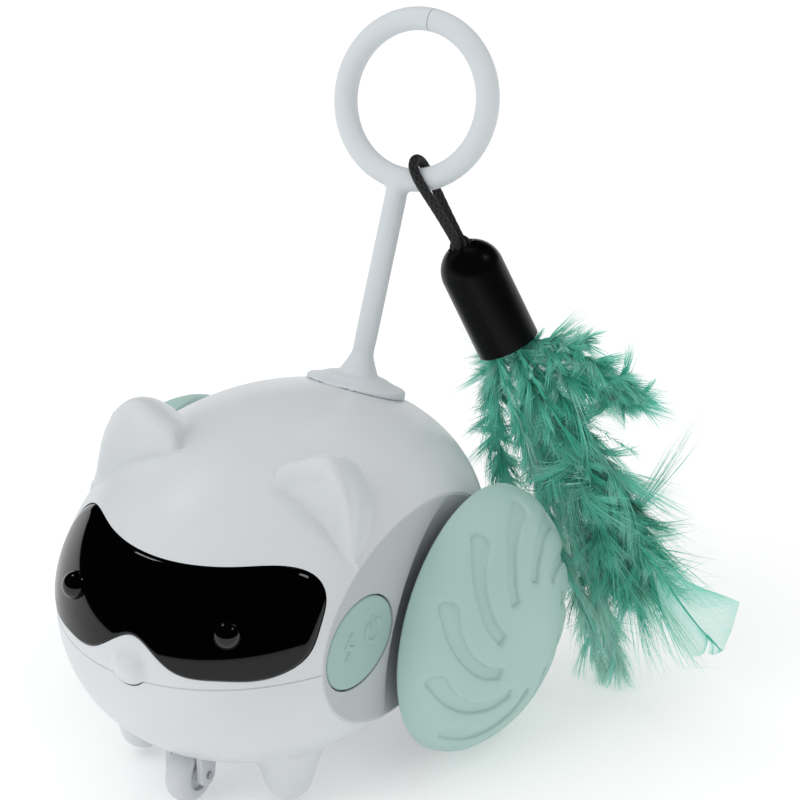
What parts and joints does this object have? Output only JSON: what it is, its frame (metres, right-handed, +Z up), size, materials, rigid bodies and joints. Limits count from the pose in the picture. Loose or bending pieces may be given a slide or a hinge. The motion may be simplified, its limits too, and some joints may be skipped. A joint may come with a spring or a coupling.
{
  "type": "cat teaser robot",
  "caption": "Self-rolling cat toy: egg-shaped casing with a cat face, two domed drive wheels, front roller and a ringed tail that carries a feather teaser.",
  "frame": {"origin": "on the floor under the middle of the box of the casing, wheels and tail", "axes": "+Z up, -Y the way the face looks, +X towards the side with the power button, along the wheel axles"},
  "size_m": [0.1272, 0.1138, 0.1337],
  "materials": {
    "shell_white": "smooth satin moulded plastic, white",
    "panel_grey": "satin moulded plastic, mid grey",
    "face_black": "polished black",
    "bead_black": "polished black",
    "button_mint": "satin moulded plastic, mint",
    "wheel_mint": "soft-touch mint",
    "roller_grey": "satin moulded plastic",
    "tail_grey": "soft light grey",
    "cord_black": "braided cord",
    "cap_black": "satin black",
    "feather_teal": "fine barbs",
    "board_green": "solder resist",
    "chip_black": "matt",
    "steel": "plain steel",
    "brass": "plain brass",
    "gear_white": "moulded",
    "case_grey": "moulded",
    "battery_blue": "shrink sleeve"
  },
  "bodies": {
    "casing": {"upper_shell": "shell_white", "lower_shell": "shell_white", "visor": "face_black", "tact_switch": "chip_black", "button_board": "board_green", "main_board": "board_green", "board_parts": "chip_black", "sensor_board": "board_green", "sensor_parts": "chip_black", "battery": "battery_blue", "usb_port": "steel", "port_board": "board_green", "shell_screws": "steel", "caster_pin": "steel", "caster_holder": "roller_grey", "tail": "tail_grey", "tail_nut": "case_grey", "right_side_panel": "panel_grey", "left_side_panel": "panel_grey", "right_eye": "bead_black", "left_eye": "bead_black", "right_motor": "steel", "left_motor": "steel", "right_double_pin": "steel", "left_double_pin": "steel", "right_gearbox_case": "case_grey", "left_gearbox_case": "case_grey", "right_gearbox_lid": "case_grey", "left_gearbox_lid": "case_grey", "right_gearbox_screws": "steel", "left_gearbox_screws": "steel", "right_axle_bush": "brass", "left_axle_bush": "brass"},
    "power_button": {"power_button": "button_mint", "switch_plunger": "chip_black"},
    "caster": {"caster_wheel": "roller_grey"},
    "teaser_cord": {"cord_loop": "cord_black", "cord_knot": "cord_black"},
    "teaser": {"teaser_cap": "cap_black", "main_plume": "feather_teal", "upper_feather": "feather_teal", "rear_strand": "feather_teal", "lower_plume": "feather_teal", "long_vane": "feather_teal"},
    "left_wheel": {"left_axle": "steel", "left_drive_gear": "gear_white", "left_wheel_hub": "case_grey", "left_hub_screw": "steel", "left_wheel_dome": "wheel_mint"},
    "left_double_gear": {"left_double_gear": "gear_white"},
    "left_motor_pinion": {"left_motor_pinion": "brass"},
    "right_wheel": {"right_axle": "steel", "right_drive_gear": "gear_white", "right_wheel_hub": "case_grey", "right_hub_screw": "steel", "right_wheel_dome": "wheel_mint"},
    "right_double_gear": {"right_double_gear": "gear_white"},
    "right_motor_pinion": {"right_motor_pinion": "brass"}
  },
  "joints": [
    {"name": "left_wheel_spin", "type": "hinge", "parent": "casing", "child": "left_wheel", "pos_m": [0, 0.0126, 0.02719], "axis": [1, 0, 0], "continuous": true},
    {"name": "left_double_gear_spin", "type": "hinge", "parent": "casing", "child": "left_double_gear", "pos_m": [0, 0.00255, 0.03299], "axis": [1, 0, 0], "continuous": true},
    {"name": "left_motor_spin", "type": "hinge", "parent": "casing", "child": "left_motor_pinion", "pos_m": [0, -0.00704, 0.03266], "axis": [1, 0, 0], "continuous": true},
    {"name": "right_wheel_spin", "type": "hinge", "parent": "casing", "child": "right_wheel", "pos_m": [0, 0.0126, 0.02719], "axis": [1, 0, 0], "continuous": true},
    {"name": "right_double_gear_spin", "type": "hinge", "parent": "casing", "child": "right_double_gear", "pos_m": [0, 0.00255, 0.03299], "axis": [1, 0, 0], "continuous": true},
    {"name": "right_motor_spin", "type": "hinge", "parent": "casing", "child": "right_motor_pinion", "pos_m": [0, -0.00704, 0.03266], "axis": [1, 0, 0], "continuous": true},
    {"name": "caster_spin", "type": "hinge", "parent": "casing", "child": "caster", "pos_m": [0, -0.0354, 0.0065], "axis": [1, 0, 0], "continuous": true},
    {"name": "power_button_press", "type": "slide", "parent": "casing", "child": "power_button", "axis": [-1, 0, 0], "range_m": [0, 0.0006], "stiffness_N_per_m": 600, "springref_m": -0.0008},
    {"name": "cord_swing", "type": "hinge", "parent": "casing", "child": "teaser_cord", "pos_m": [0.00491, 0.04236, 0.10277], "axis": [0.9511, 0.1212, 0.2842], "range_deg": [0, 55]},
    {"name": "teaser_swing", "type": "hinge", "parent": "teaser_cord", "child": "teaser", "pos_m": [0.01306, 0.04396, 0.08969], "axis": [0, 1, 0], "range_deg": [-30, 0]}
  ],
  "couplings": [
    {"joint": "left_double_gear_spin", "follows": "left_wheel_spin", "ratio": -3.6},
    {"joint": "left_motor_spin", "follows": "left_wheel_spin", "ratio": 13.5},
    {"joint": "right_double_gear_spin", "follows": "right_wheel_spin", "ratio": -3.6},
    {"joint": "right_motor_spin", "follows": "right_wheel_spin", "ratio": 13.5}
  ]
}
